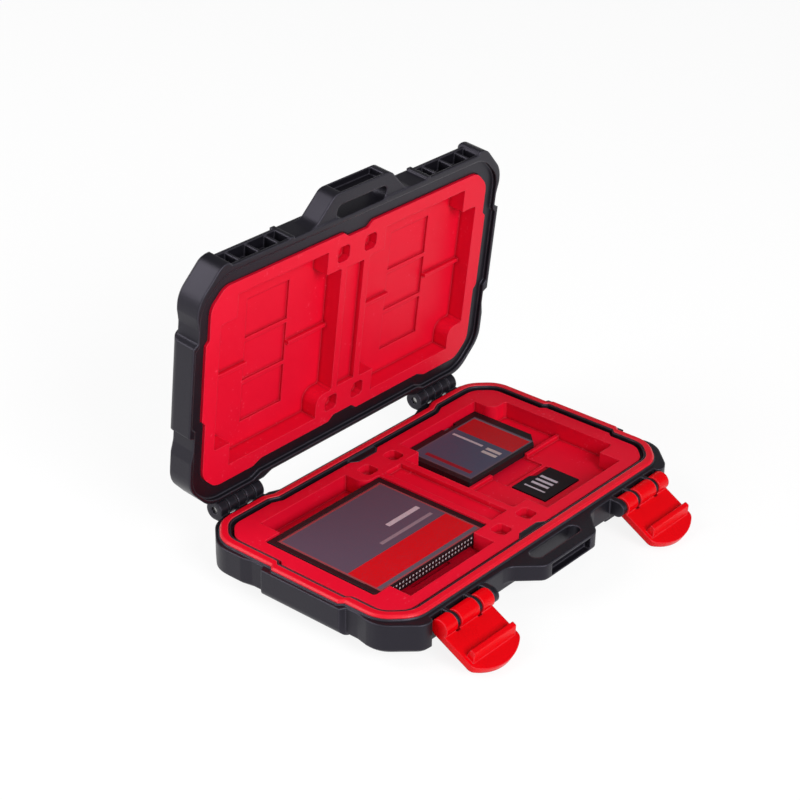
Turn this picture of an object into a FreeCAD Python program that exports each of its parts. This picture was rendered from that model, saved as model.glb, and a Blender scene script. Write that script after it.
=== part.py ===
"""Memory card case: two hinged shells with fitted card trays, a rim seal, two latches and three cards.

The frame has +X along the length, -Y at the latches, +Z up, and the origin under the middle of the base.
"""
import FreeCAD, Part
import os
import re
import Sketcher

# Driving dimensions, in millimetres and degrees; a share is a plain ratio
SIZES = {
    # Shell outline in plan
    "half_length": 59.0,
    "panel_rise": 0.9,
    "notch_depth": 0.7,
    "panel_front": 16.2,
    "panel_back": 9.6,
    "panel_round": 2.4,
    "panel_draft": 2.0,
    "notch_run": 2.5,
    "slope_run": 3.4,
    "corner_run_x": 7.6,
    "corner_run_y": 8.2,
    "corner_round": 8.0,
    "bumper_round": 4.4,
    "bumper_corner": 0.9,
    "front_face": 35.0,
    "bumper_front": 36.2,
    "bay_face": 34.4,
    "back_face": 33.9,
    "waist_face": 32.7,
    "waist_half": 27.5,
    "waist_run": 3.0,
    "edge_bevel": 0.9,
    "front_cut_rise": 2.2,
    "front_cut_run": 3.0,
    "root_depth": 1.0,
    # Handle loop
    "handle_front": 41.9,
    "handle_tip_half": 10.6,
    "handle_root_half": 16.8,
    "handle_flare": 2.4,
    "handle_foot": 0.5,
    "handle_round": 3.0,
    "handle_bevel": 0.4,
    "handle_height": 4.6,
    "lid_handle_start": 0.4,
    "lid_handle_height": 5.9,
    "handle_slot_half": 9.6,
    "handle_slot_width": 3.8,
    "handle_slot_front": 38.5,
    "handle_pocket_half": 8.2,
    "handle_pocket_depth": 2.0,
    "handle_pocket_edge": 0.6,
    # Heights
    "belly_depth": 4.5,
    "wall_height": 8.0,
    "skin": 1.4,
    "lid_skin": 1.15,
    "rim_gap": 0.1,
    "tray_rise": 0.5,
    "tongue_rise": 0.45,
    "seal_rise": 0.8,
    "seal_bevel": 0.5,
    "seal_clearance": 0.1,
    "insert_inset": 0.55,
    "channel_depth": 0.6,
    # Raised middle of each shell
    "belly_margin": 7.6,
    "belly_corner": 7.0,
    "belly_bevel": 1.3,
    # Tray outline in plan
    "panel_wall": 4.85,
    "side_wall": 5.1,
    "front_wall": 5.6,
    "back_wall": 5.0,
    "waist_wall": 5.1,
    "tray_corner": 4.6,
    "tray_panel_front": 14.8,
    "tray_panel_back": 7.0,
    "tray_panel_run": 1.2,
    "tray_waist_half": 31.5,
    "tray_waist_run": 3.0,
    "corner_growth_share": 0.586,
    "tray_round": 5.0,
    # Rings around the tray, as offsets from its outline
    "tray_fit": 0.15,
    "tongue_inner": 1.0,
    "lip_outer": 1.5,
    "lip_drop": 0.1,
    "seal_inner": 1.6,
    "seal_outer": 3.75,
    "tongue_outer": 3.85,
    "groove_outer": 4.0,
    "tolerance": 0.05,
    # Card bays
    "bay_x": 27.4,
    "bay_y": 0.8,
    "bay_depth": 5.0,
    "bay_bevel": 0.5,
    "bay_soft_round": 3.0,
    "cf_bay_half_x": 21.95,
    "cf_bay_half_y": 18.4,
    "sd_bay_half_x": 16.3,
    "sd_bay_half_y": 25.0,
    "micro_bay_half_x": 7.7,
    "micro_bay_half_y": 5.7,
    "micro_pitch": 12.5,
    "micro_depth": 0.7,
    "rest_rib_width": 1.0,
    "rest_rib_height": 1.2,
    "pit_x": 5.2,
    "pit_half": 2.3,
    "pit_front": 23.4,
    "pit_back": 21.6,
    "pit_depth": 2.6,
    "pit_corner": 0.8,
    "trough_half": 3.3,
    "trough_reach": 18.0,
    "trough_depth": 1.5,
    "finger_half": 5.6,
    "finger_slope": 2.0,
    "finger_depth": 1.5,
    "key_gap": 0.25,
    "key_root": 1.2,
    # Lid hinges
    "hinge_y": 36.8,
    "hinge_rise": 1.0,
    "hinge_margin": 10.4,
    "hinge_length": 15.8,
    "knuckle_radius": 2.6,
    "knuckle_gap": 0.3,
    "arm_thickness": 1.6,
    "pin_radius": 1.0,
    "pin_fit": 0.03,
    "pin_run": 0.06,
    "pin_recess": 0.6,
    "lid_open": 84.0,
    # Latches
    "latch_margin": 20.5,
    "latch_bay_in": 10.7,
    "latch_bay_out": 9.5,
    "latch_width": 18.4,
    "pivot_y": 37.2,
    "pivot_drop": 2.35,
    "barrel_radius": 2.5,
    "plate_thickness": 1.8,
    "plate_reach": 12.3,
    "lip_rise": 3.5,
    "bar_start": 9.05,
    "bar_end": 11.6,
    "bar_height": 2.6,
    "bar_inset": 1.1,
    "bar_round": 0.35,
    "tip_round": 2.0,
    "lug_spread": 4.2,
    "lug_width": 1.1,
    "lug_radius": 2.2,
    "lug_side_gap": 0.2,
    "lug_tip_gap": 0.4,
    "ear_radius": 2.2,
    "ear_gap": 0.3,
    "ear_length": 1.8,
    "latch_pin_radius": 0.9,
    "latch_open_left": 117.6,
    "latch_open_right": 119.5,
    # Catch on the lid
    "flange_face": 35.2,
    "catch_face": 35.6,
    "flange_height": 0.9,
    "catch_window": 4.5,
    "catch_strip": 0.8,
    "catch_rib": 0.8,
    "catch_pitch": 6.8,
    "catch_floor": 32.0,
    "catch_cover": 0.5,
    "catch_wall": 1.5,
    # Compact flash card
    "cf_length": 42.8,
    "cf_width": 36.4,
    "cf_thickness": 3.3,
    "cf_border": 1.7,
    "cf_cover": 0.5,
    "cf_front_rail": 5.4,
    "cf_socket_half": 20.0,
    "cf_socket_depth": 4.0,
    "cf_socket_height": 2.1,
    "cf_hole": 0.62,
    "cf_hole_depth": 2.5,
    "cf_hole_pitch": 1.27,
    "cf_label_side": 1.9,
    "cf_label_back": 2.2,
    "cf_label_front": 0.35,
    "cf_shift": 0.45,
    "label_thickness": 0.12,
    # Secure digital card
    "sd_length": 32.0,
    "sd_width": 24.0,
    "sd_thickness": 2.1,
    "sd_corner": 4.0,
    "sd_gap": 0.15,
    "sd_round": 0.8,
    "sd_label_left": 1.8,
    "sd_label_right": 2.6,
    "sd_label_side": 1.2,
    "sd_lock_start": 17.5,
    "sd_lock_slot": 5.0,
    "sd_lock_length": 2.6,
    "sd_lock_depth": 0.9,
    # Micro card
    "micro_length": 15.0,
    "micro_width": 11.0,
    "micro_thickness": 1.0,
    "micro_tail": 9.7,
    "micro_notch": 1.3,
    "micro_contact_length": 2.9,
    "micro_contact_sink": 0.1,
}
HINGE_KNUCKLES = 5
CATCH_RIBS = 3
CF_HOLES_PER_ROW = 25
CF_HOLE_ROWS = 2
MICRO_BAYS = 3

# Plan of the case from its middle outwards, as sums of the named sizes
BUMPER_SIDE = "(half_length - panel_rise)"
NOTCH_SIDE = f"({BUMPER_SIDE} - notch_depth)"
HINGE_OUTER = f"({BUMPER_SIDE} - hinge_margin)"
HINGE_INNER = f"({HINGE_OUTER} - hinge_length)"
LATCH_X = f"({BUMPER_SIDE} - latch_margin)"
LATCH_INNER = f"({LATCH_X} - latch_width / 2)"
LATCH_OUTER = f"({LATCH_X} + latch_width / 2)"
TRAY_PANEL = "(half_length - panel_wall)"
TRAY_SIDE = f"({BUMPER_SIDE} - side_wall)"
TRAY_FRONT = "(front_face - front_wall)"
TRAY_BACK = "(back_face - back_wall)"
TRAY_WAIST = "(waist_face - waist_wall)"

# Levels from the base's underside upwards
ZERO = "0"
LEDGE = "belly_depth + wall_height"
FLOOR = "belly_depth + skin"
TRAY_TOP = f"{LEDGE} + tray_rise"
TONGUE_TOP = f"{LEDGE} + tongue_rise"
SEAL_TOP = f"{TONGUE_TOP} + seal_rise"
RIM = f"{LEDGE} + rim_gap"
GROOVE_FLOOR = f"{SEAL_TOP} + seal_clearance"
INSERT_FACE = f"{RIM} + insert_inset"
LID_EDGE = f"{RIM} + wall_height"
LID_ROOF = f"{LID_EDGE} - lid_skin"
LID_TOP = f"{LID_EDGE} + belly_depth"
HINGE_Z = f"{LEDGE} + hinge_rise"
PIVOT_Z = f"{LEDGE} - pivot_drop"

doc = FreeCAD.newDocument("memory_card_case")
sheet = doc.addObject("Spreadsheet::Sheet", "Sizes")
for row, (alias, size) in enumerate(SIZES.items(), start=1):
    sheet.set(f"A{row}", alias)
    sheet.set(f"B{row}", str(size))
    sheet.setAlias(f"B{row}", alias)
doc.recompute()
nodes = []


def value(text):
    """Number that a sum of size names comes to."""
    return float(sheet.evalExpression(text))


def bind(item, **sums):
    """Bind an object's properties to sums of the sheet's cells; two underscores stand for a dot."""
    for name, text in sums.items():
        item.setExpression(name.replace("__", "."), re.sub(r"[a-z]\w+", r"Sizes.\g<0>", text))
    return item


def node(item, label):
    """Name a finished sub-part and keep it for export."""
    item.Label = label
    nodes.append(item)
    return item


def start_body(name, corners, low, high, plane="XY_Plane"):
    """Body with one pad: a closed outline of corner points, raised from one level to another."""
    body = doc.addObject("PartDesign::Body", name)
    sketch = body.newObject("Sketcher::SketchObject", f"{name}_outline")
    support = [item for item in body.Origin.OriginFeatures if item.Role == plane]
    sketch.AttachmentSupport = [(support[0], "")]
    sketch.MapMode = "FlatFace"
    bind(sketch, AttachmentOffset__Base__z=low)
    points = [FreeCAD.Vector(value(across), value(up), 0) for across, up in corners]
    count = len(points)
    for index, point in enumerate(points):
        sketch.addGeometry(Part.LineSegment(point, points[(index + 1) % count]), False)
    for index in range(count):
        sketch.addConstraint(Sketcher.Constraint("Coincident", index, 2, (index + 1) % count, 1))
    for index, (across, up) in enumerate(corners):
        place = points[index]
        for kind, start, text in (("DistanceX", place.x, across), ("DistanceY", place.y, up)):
            number = sketch.addConstraint(Sketcher.Constraint(kind, -1, 1, index, 1, start))
            bind(sketch, **{f"Constraints[{number}]": text})
    pad = body.newObject("PartDesign::Pad", f"{name}_pad")
    pad.Profile = sketch
    bind(pad, Length=f"{high} - ({low})")
    doc.recompute()
    return body


def dress_edges(body, kind, size_name, size, chosen):
    """Soften the edges of a body's newest feature that a test picks out."""
    base = body.Tip
    picked = [f"Edge{index}" for index, edge in enumerate(base.Shape.Edges, start=1) if chosen(edge)]
    dressed = body.newObject(f"PartDesign::{kind}", f"{body.Name}_{kind}")
    dressed.Base = (base, picked)
    bind(dressed, **{size_name: size})
    doc.recompute()
    return body


def round_edges(body, radius, chosen):
    """Round the chosen edges of a body."""
    return dress_edges(body, "Fillet", "Radius", radius, chosen)


def bevel_edges(body, size, chosen):
    """Bevel the chosen edges of a body."""
    return dress_edges(body, "Chamfer", "Size", size, chosen)


def is_upright(edge):
    """Whether an edge is a straight one along Z."""
    return edge.BoundBox.XLength + edge.BoundBox.YLength < edge.BoundBox.ZLength * value("tray_fit")


def lies_at(edge, level):
    """Whether an edge lies in the level plane at a height."""
    return max(abs(vertex.Z - value(level)) for vertex in edge.Vertexes) < value("tolerance")


def box(name, x_span, y_span, z_span):
    """Box between two sums on each axis."""
    item = doc.addObject("Part::Box", name)
    for size, axis, (low, high) in zip(("Length", "Width", "Height"), "xyz", (x_span, y_span, z_span)):
        bind(item, **{size: f"{high} - ({low})", f"Placement__Base__{axis}": low})
    return item


def rod(name, radius, x_span, y, z):
    """Cylinder along X between two sums."""
    item = doc.addObject("Part::Cylinder", name)
    item.Placement.Rotation = FreeCAD.Rotation(FreeCAD.Vector(0, 1, 0), 90)
    bind(item, Radius=radius, Height=f"{x_span[1]} - ({x_span[0]})")
    bind(item, Placement__Base__x=x_span[0], Placement__Base__y=y, Placement__Base__z=z)
    return item


def fuse(name, shapes):
    """One solid from several."""
    item = doc.addObject("Part::MultiFuse", name)
    item.Shapes = shapes
    return item


def cut(name, base, tools):
    """A solid less several others."""
    item = doc.addObject("Part::Cut", name)
    item.Base = base
    item.Tool = tools[0] if len(tools) == 1 else fuse(f"{name}_tools", tools)
    doc.recompute()
    return item


def dress_solid(name, kind, base, size, chosen):
    """Bevel or round the edges of a solid that a test picks out."""
    item = doc.addObject(f"Part::{kind}", name)
    item.Base = base
    reach = value(size)
    edges = enumerate(base.Shape.Edges, start=1)
    item.Edges = [(index, reach, reach) for index, edge in edges if chosen(edge)]
    doc.recompute()
    return item


def mirrored(half):
    """Closed outline from the points of its +X half, listed from front to back."""
    return half + [(f"-({x})", y) for x, y in reversed(half)]


def both_sides(low, high):
    """The two spans along X that a span and its mirror image cover."""
    return ((low, high), (f"-({high})", f"-({low})"))


def shell_outline():
    """Plan of a shell's walls: latch bays, corner bumpers, notched sides and a waist between the hinges."""
    notch_front = "panel_front + panel_draft"
    notch_back = "panel_back + panel_draft"
    bay_inner = f"{LATCH_X} - latch_bay_in"
    bay_outer = f"{LATCH_X} + latch_bay_out"
    corner_x = f"{BUMPER_SIDE} - corner_run_x"
    return mirrored([
        (bay_inner, "-front_face"),
        (bay_inner, "-bay_face"),
        (bay_outer, "-bay_face"),
        (bay_outer, "-(bumper_front - bumper_corner)"),
        (f"{bay_outer} + bumper_corner", "-bumper_front"),
        (corner_x, "-bumper_front"),
        (BUMPER_SIDE, "-(bumper_front - corner_run_y)"),
        (BUMPER_SIDE, f"-({notch_front} + notch_run + slope_run)"),
        (NOTCH_SIDE, f"-({notch_front} + notch_run)"),
        (NOTCH_SIDE, f"{notch_back} + notch_run"),
        (BUMPER_SIDE, f"{notch_back} + notch_run + slope_run"),
        (BUMPER_SIDE, "back_face - corner_run_y"),
        (corner_x, "back_face"),
        ("waist_half + waist_run", "back_face"),
        ("waist_half", "waist_face"),
    ])


def side_panels(name, low, high, outer_level):
    """Raised pads on the two sides, with a well rounded outer edge."""
    pads = []
    for side, sign in (("right", ""), ("left", "-")):
        inner = f"{sign}({NOTCH_SIDE} - panel_round)"
        outer = f"{sign}half_length"
        pad = start_body(f"{name}_pad_{side}", [
            (inner, "-(panel_front + panel_draft)"), (outer, "-panel_front"),
            (outer, "panel_back"), (inner, "panel_back + panel_draft"),
        ], low, high)
        reach = value("half_length - tolerance")
        pads.append(round_edges(pad, "panel_round", lambda edge: lies_at(edge, outer_level)
                                and abs(edge.CenterOfMass.x) > reach))
    return pads


def handle(name, low, high, outer_level):
    """Half of the carrying loop: a flared trapezoid with its slot and its front pocket still to be cut."""
    flare = "handle_root_half + handle_flare"
    body = start_body(name, mirrored([
        ("handle_tip_half", "-handle_front"),
        ("handle_root_half", "-(front_face + handle_foot)"),
        (flare, "-front_face"),
        (flare, "-(front_face - root_depth)"),
    ]), low, high)
    wall = value("front_face + tolerance")
    round_edges(body, "handle_round", lambda edge: is_upright(edge) and edge.CenterOfMass.y < -wall)
    return bevel_edges(body, "handle_bevel", lambda edge: lies_at(edge, outer_level)
                       and edge.CenterOfMass.y < -wall - value("handle_foot"))


def ring_outline(offset):
    """Plan of the tray, moved outwards by an offset all round."""
    corner = f"(tray_corner + corner_growth_share * ({offset}))"
    side = f"({TRAY_SIDE} + {offset})"
    panel = f"({TRAY_PANEL} + {offset})"
    front = f"({TRAY_FRONT} + {offset})"
    back = f"({TRAY_BACK} + {offset})"
    return mirrored([
        (f"{side} - {corner}", f"-{front}"),
        (side, f"-({front} - {corner})"),
        (side, "-(tray_panel_front + tray_panel_run)"),
        (panel, "-tray_panel_front"),
        (panel, "tray_panel_back"),
        (side, "tray_panel_back + tray_panel_run"),
        (side, f"{back} - {corner}"),
        (f"{side} - {corner}", back),
        ("tray_waist_half + tray_waist_run", back),
        ("tray_waist_half", f"{TRAY_WAIST} + {offset}"),
    ])


def ring_body(name, offset, low, high):
    """Prism of the tray's plan at an offset, with its four corners rounded."""
    body = start_body(name, ring_outline(offset), low, high)
    corner_y = value(f"{TRAY_BACK} - tray_corner - tray_round")
    return round_edges(
        body, f"tray_round + {offset}",
        lambda edge: is_upright(edge) and abs(edge.CenterOfMass.y) > corner_y
        and abs(edge.CenterOfMass.x) > value("tray_waist_half + tray_waist_run + tray_corner"))


def shell_block(name, low, high, outer_level):
    """Walls of a shell before it is hollowed, with rounded corners and outer edges."""
    body = start_body(name, shell_outline(), low, high)
    corner_x = value(f"{BUMPER_SIDE} - corner_run_x - tolerance")
    corner_y = value("back_face - corner_run_y - tolerance")
    front_y = value("-bumper_front + tolerance")
    round_edges(body, "bumper_round", lambda edge: is_upright(edge) and abs(edge.CenterOfMass.x) > corner_x
                and edge.CenterOfMass.y < front_y)
    round_edges(body, "corner_round", lambda edge: is_upright(edge) and abs(edge.CenterOfMass.x) > corner_x
                and abs(edge.CenterOfMass.y) > corner_y and edge.CenterOfMass.y > front_y)
    bevel_edges(body, "edge_bevel", lambda edge: lies_at(edge, outer_level))
    return body


def belly(name, inset, low, high, bevelled=""):
    """Raised middle of a shell, or the hollow inside it."""
    faces = (BUMPER_SIDE, "front_face", "back_face")
    half, front, back = (f"{face} - belly_margin - {inset}" for face in faces)
    corner = "belly_corner"
    body = start_body(name, mirrored([
        (f"{half} - {corner}", f"-({front})"),
        (half, f"-({front} - {corner})"),
        (half, f"{back} - {corner}"),
        (f"{half} - {corner}", back),
    ]), low, high)
    if bevelled:
        bevel_edges(body, "belly_bevel", lambda edge: lies_at(edge, bevelled))
    return body


def handle_openings(name, low, high, slot_low, slot_high):
    """Slot through the handle and the pocket in its front face."""
    slot_radius = "handle_slot_width / 2"
    slot_back = "-(handle_slot_front - handle_slot_width)"
    slot_end = f"handle_slot_half - {slot_radius}"
    slot = [box(f"{name}_slot", (f"-({slot_end})", slot_end), ("-handle_slot_front", slot_back),
                (slot_low, slot_high))]
    for side, sign in (("left", "-"), ("right", "")):
        end = doc.addObject("Part::Cylinder", f"{name}_slot_{side}")
        bind(end, Radius=slot_radius, Height=f"{slot_high} - ({slot_low})")
        bind(end, Placement__Base__x=f"{sign}({slot_end})", Placement__Base__z=slot_low)
        bind(end, Placement__Base__y=f"-(handle_slot_front - {slot_radius})")
        slot.append(end)
    pocket = box(
        f"{name}_pocket", ("-handle_pocket_half", "handle_pocket_half"),
        ("-handle_front", "-(handle_front - handle_pocket_depth)"),
        (f"{low} + handle_pocket_edge", f"{high} - handle_pocket_edge"))
    return slot + [pocket]


def knuckle_span(index):
    """Span along X of one of a hinge's knuckles, counted outwards."""
    pitch = f"(hinge_length + knuckle_gap) / {HINGE_KNUCKLES}"
    start = f"{HINGE_INNER} + {index} * {pitch}"
    return (start, f"{start} + {pitch} - knuckle_gap")


def hinge_knuckles(name, indexes, arm_low, arm_high):
    """Knuckles of both hinges on one shell, each with the arm that carries it."""
    pieces = []
    for index in indexes:
        for side, span in zip("RL", both_sides(*knuckle_span(index))):
            label = f"{name}_knuckle_{side}{index}"
            pieces.append(rod(label, "knuckle_radius", span, "hinge_y", HINGE_Z))
            arm_y = ("back_face - root_depth", "hinge_y")
            pieces.append(box(f"{label}_arm", span, arm_y, (arm_low, arm_high)))
    return pieces


def hinge_bores(name, clearance):
    """Bores for the pins of both hinges."""
    return [rod(f"{name}_bore_{side}", f"pin_radius + {clearance}", span, "hinge_y", HINGE_Z)
            for side, span in zip("RL", both_sides(HINGE_INNER, HINGE_OUTER))]


def lug_spans(extra):
    """Spans along X of the two lugs of a latch from its middle, widened by a gap on each side."""
    return [(f"{sign}lug_spread - lug_width / 2 - {extra}", f"{sign}lug_spread + lug_width / 2 + {extra}")
            for sign in ("-", "")]


def notch_keys(name, low, high):
    """Keys of a shell that fill the notches in the front and back edges of its tray."""
    wide = "finger_half - key_gap"
    narrow = "finger_half - finger_slope - tolerance"
    keys = []
    for end, sign, edge in (("front", "-", TRAY_FRONT), ("back", "", TRAY_WAIST)):
        root = f"{sign}({edge} + key_root)"
        tip = f"{sign}({edge} - finger_depth + tray_fit)"
        keys.append(start_body(f"{name}_key_{end}", [
            (f"-({wide})", root), (f"-({wide})", f"{sign}{edge}"), (f"-({narrow})", tip),
            (narrow, tip), (wide, f"{sign}{edge}"), (wide, root),
        ], low, high))
    return keys


def pivot_block(name, radius, span):
    """Rounded block on the base at the height of a latch's pin."""
    return [
        rod(name, radius, span, "-pivot_y", PIVOT_Z),
        box(f"{name}_root", span, ("-pivot_y", "-(bay_face - root_depth)"),
            (f"{PIVOT_Z} - {radius}", f"{PIVOT_Z} + {radius}")),
    ]


def make_base_shell():
    """Lower shell: walls, floor, seal tongue, latch pivots, handle half and its share of the hinges."""
    walls = shell_block("base_walls", "belly_depth", LEDGE, "belly_depth")
    front_half = f"{LATCH_X} - latch_bay_in"
    front_cut = start_body("base_front_cut", [
        ("-front_face", "belly_depth"), ("-(front_face - front_cut_run)", "belly_depth"),
        ("-front_face", "belly_depth + front_cut_rise"),
    ], f"-({front_half})", front_half, "YZ_Plane")
    solids = [cut("base_walls_cut", walls, [front_cut])]
    solids += side_panels("base_walls", "belly_depth", LEDGE, "belly_depth")
    solids.append(belly("base_belly", ZERO, ZERO, "belly_depth", ZERO))
    solids.append(handle("base_handle", f"{LEDGE} - handle_height", LEDGE, f"{LEDGE} - handle_height"))
    solids.append(ring_body("base_tongue", "tongue_outer", LEDGE, TONGUE_TOP))
    solids.append(ring_body("base_lip", "lip_outer", TONGUE_TOP, f"{SEAL_TOP} - lip_drop"))
    solids += hinge_knuckles("base", range(0, HINGE_KNUCKLES, 2), f"{HINGE_Z} - knuckle_radius", LEDGE)
    bores = hinge_bores("base", "pin_fit")
    for side, sign in (("right", ""), ("left", "-")):
        for index, (low, high) in enumerate(lug_spans(ZERO)):
            span = (f"{sign}{LATCH_X} + {low}", f"{sign}{LATCH_X} + {high}")
            solids += pivot_block(f"latch_lug_{side}{index}", "lug_radius", span)
    ear_end = f"{LATCH_INNER} - ear_gap"
    for side, span in zip("RL", both_sides(f"{ear_end} - ear_length", ear_end)):
        solids += pivot_block(f"latch_ear_{side}", "ear_radius", span)
    for side, span in zip("RL", both_sides(LATCH_INNER, LATCH_OUTER)):
        bores.append(rod(f"latch_bore_{side}", "latch_pin_radius + pin_fit", span, "-pivot_y", PIVOT_Z))
    hollows = [
        ring_body("base_cavity", "tray_fit", FLOOR, SEAL_TOP),
        ring_body("base_channel", "tongue_inner", f"{LEDGE} - channel_depth", SEAL_TOP),
        belly("base_hollow", "skin", "skin", f"{FLOOR} + skin"),
    ]
    hollows += handle_openings("base_handle", f"{LEDGE} - handle_height", LEDGE, "belly_depth", LEDGE)
    hollowed = cut("base_hollowed", fuse("base_solids", solids), hollows + bores)
    keys = notch_keys("base", f"{TRAY_TOP} - bay_depth + tray_fit", TRAY_TOP)
    node(fuse("base_shell", [hollowed] + keys), "base_shell")


def latch_catch(name, span):
    """Catch of a latch on the lid: a flange at the rim, a strip that the bar hooks, and cells with ribs."""
    bay_low, bay_high = span
    root = "-(bay_face - root_depth)"
    window = (f"{RIM} + flange_height", f"{RIM} + flange_height + catch_window")
    pieces = [
        box(f"{name}_flange", (bay_low, bay_high), ("-flange_face", root), (RIM, window[0])),
        box(f"{name}_strip", (bay_low, bay_high), ("-catch_face", root),
            (window[1], f"{window[1]} + catch_strip")),
    ]
    starts = [f"({bay_low} + {bay_high}) / 2 + {index - CATCH_RIBS // 2} * catch_pitch - catch_rib / 2"
              for index in range(CATCH_RIBS)]
    for index, start in enumerate(starts):
        rib_x = (start, f"{start} + catch_rib")
        pieces.append(box(f"{name}_rib{index}", rib_x, ("-flange_face", root), window))
    ends = zip([bay_low] + [f"{start} + catch_rib" for start in starts], starts + [bay_high])
    cells = [box(f"{name}_cell{index}", ends_of_cell, ("-catch_face", "-catch_floor"),
                 (f"{GROOVE_FLOOR} + catch_cover", window[1]))
             for index, ends_of_cell in enumerate(ends)]
    return pieces, cells


def make_lid_shell():
    """Upper shell: walls, roof, seal groove, latch catches, handle half and its share of the hinges."""
    solids = [shell_block("lid_walls", RIM, LID_EDGE, LID_EDGE)]
    solids += side_panels("lid_walls", RIM, LID_EDGE, LID_EDGE)
    solids.append(belly("lid_belly", ZERO, LID_EDGE, LID_TOP, LID_TOP))
    handle_low = f"{RIM} + lid_handle_start"
    handle_high = f"{handle_low} + lid_handle_height"
    solids.append(handle("lid_handle", handle_low, handle_high, handle_high))
    arm_top = f"{HINGE_Z} + knuckle_radius"
    solids += hinge_knuckles("lid", range(1, HINGE_KNUCKLES, 2), f"{arm_top} - arm_thickness", arm_top)
    hollows = hinge_bores("lid", "pin_run")
    bay_inner = f"{LATCH_X} - latch_bay_in"
    for side, span in zip("RL", both_sides(f"{bay_inner} - catch_wall", bay_inner)):
        solids.append(box(f"catch_wall_{side}", span, ("-catch_face", "-(front_face - root_depth)"),
                          (RIM, f"{LID_EDGE} - edge_bevel")))
    for side, span in zip("RL", both_sides(bay_inner, f"{LATCH_X} + latch_bay_out")):
        pieces, cells = latch_catch(f"catch_{side}", span)
        solids += pieces
        hollows += cells
    hollows += [
        ring_body("lid_groove", "groove_outer", RIM, GROOVE_FLOOR),
        ring_body("lid_cavity", "tray_fit", GROOVE_FLOOR, LID_ROOF),
        belly("lid_hollow", "skin", f"{LID_ROOF} - skin", f"{LID_TOP} - skin"),
    ]
    hollows += handle_openings("lid_handle", handle_low, handle_high, RIM, LID_EDGE)
    hollowed = cut("lid_hollowed", fuse("lid_solids", solids), hollows)
    keys = notch_keys("lid", GROOVE_FLOOR, f"{INSERT_FACE} + bay_depth - tray_fit")
    node(fuse("lid_shell", [hollowed] + keys), "lid_shell")


def bay_tools(name, face, inward):
    """Everything cut into a tray's face: stepped card bays, pits, trough and finger notches."""
    def reach(depth):
        """Span in Z from the face into the tray."""
        return (face, f"{face} + {depth}") if inward == "+" else (f"{face} - ({depth})", face)

    tools = []
    for side, sign in (("right", ""), ("left", "-")):
        middle = f"{sign}bay_x"
        low, high = reach("bay_depth")
        cross = start_body(f"{name}_bay_{side}", [
            (f"{middle} {x} {half_x}", f"-bay_y {y} {half_y}") for x, half_x, y, half_y in (
                ("+", "sd_bay_half_x", "-", "sd_bay_half_y"), ("+", "sd_bay_half_x", "-", "cf_bay_half_y"),
                ("+", "cf_bay_half_x", "-", "cf_bay_half_y"), ("+", "cf_bay_half_x", "+", "cf_bay_half_y"),
                ("+", "sd_bay_half_x", "+", "cf_bay_half_y"), ("+", "sd_bay_half_x", "+", "sd_bay_half_y"),
                ("-", "sd_bay_half_x", "+", "sd_bay_half_y"), ("-", "sd_bay_half_x", "+", "cf_bay_half_y"),
                ("-", "cf_bay_half_x", "+", "cf_bay_half_y"), ("-", "cf_bay_half_x", "-", "cf_bay_half_y"),
                ("-", "sd_bay_half_x", "-", "cf_bay_half_y"), ("-", "sd_bay_half_x", "-", "sd_bay_half_y"))
        ], low, high)
        soft_x, soft_y = value(f"{middle} + sd_bay_half_x"), value("-bay_y + cf_bay_half_y")
        round_edges(cross, "bay_soft_round", lambda edge: is_upright(edge)
                    and abs(edge.CenterOfMass.x - soft_x) < value("bay_bevel")
                    and abs(edge.CenterOfMass.y - soft_y) < value("bay_bevel"))
        end_reach = value("cf_bay_half_x - bay_bevel")
        bevel_edges(cross, "bay_bevel", lambda edge: is_upright(edge)
                    and abs(edge.CenterOfMass.x - value(middle)) > end_reach)
        rib_low, rib_high = reach("bay_depth")
        rib_span = (rib_low, f"{rib_low} + rest_rib_height")
        if inward == "+":
            rib_span = (f"{rib_high} - rest_rib_height", rib_high)
        rib_y = ("-bay_y - rest_rib_width / 2", "-bay_y + rest_rib_width / 2")
        ribs = [box(f"{name}_rib_{side}{end}", span, rib_y, rib_span)
                for end, span in (
                    ("outer", (f"{middle} + micro_bay_half_x", f"{middle} + cf_bay_half_x")),
                    ("inner", (f"{middle} - cf_bay_half_x", f"{middle} - micro_bay_half_x")))]
        tools.append(cut(f"{name}_bay_{side}_ribbed", cross, ribs))
        for index in range(MICRO_BAYS):
            centre = f"-bay_y + {index - MICRO_BAYS // 2} * micro_pitch"
            tools.append(box(
                f"{name}_micro_{side}{index}",
                (f"{middle} - micro_bay_half_x", f"{middle} + micro_bay_half_x"),
                (f"{centre} - micro_bay_half_y", f"{centre} + micro_bay_half_y"),
                reach("bay_depth + micro_depth")))
        for end, centre in (("front", "-pit_front"), ("back", "pit_back")):
            near, far = "(pit_half - pit_corner)", "pit_half"
            tools.append(start_body(f"{name}_pit_{end}_{side}", [
                (f"{sign}pit_x {x}", f"{centre} {y}") for x, y in (
                    (f"- {near}", f"- {far}"), (f"+ {near}", f"- {far}"), (f"+ {far}", f"- {near}"),
                    (f"+ {far}", f"+ {near}"), (f"+ {near}", f"+ {far}"), (f"- {near}", f"+ {far}"),
                    (f"- {far}", f"+ {near}"), (f"- {far}", f"- {near}"))
            ], *reach("pit_depth")))
    tools.append(box(f"{name}_trough", ("-trough_half", "trough_half"),
                     ("-bay_y - trough_reach", "-bay_y + trough_reach"), reach("trough_depth")))
    for end, sign, edge in (("front", "-", TRAY_FRONT), ("back", "", TRAY_WAIST)):
        low, high = reach("bay_depth")
        mouth, floor = f"{sign}{edge}", f"{sign}({edge} - finger_depth)"
        tools.append(start_body(f"{name}_finger_{end}", [
            ("-finger_half", mouth), ("-(finger_half - finger_slope)", floor),
            ("finger_half - finger_slope", floor), ("finger_half", mouth),
        ], low, high))
    return tools


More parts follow.
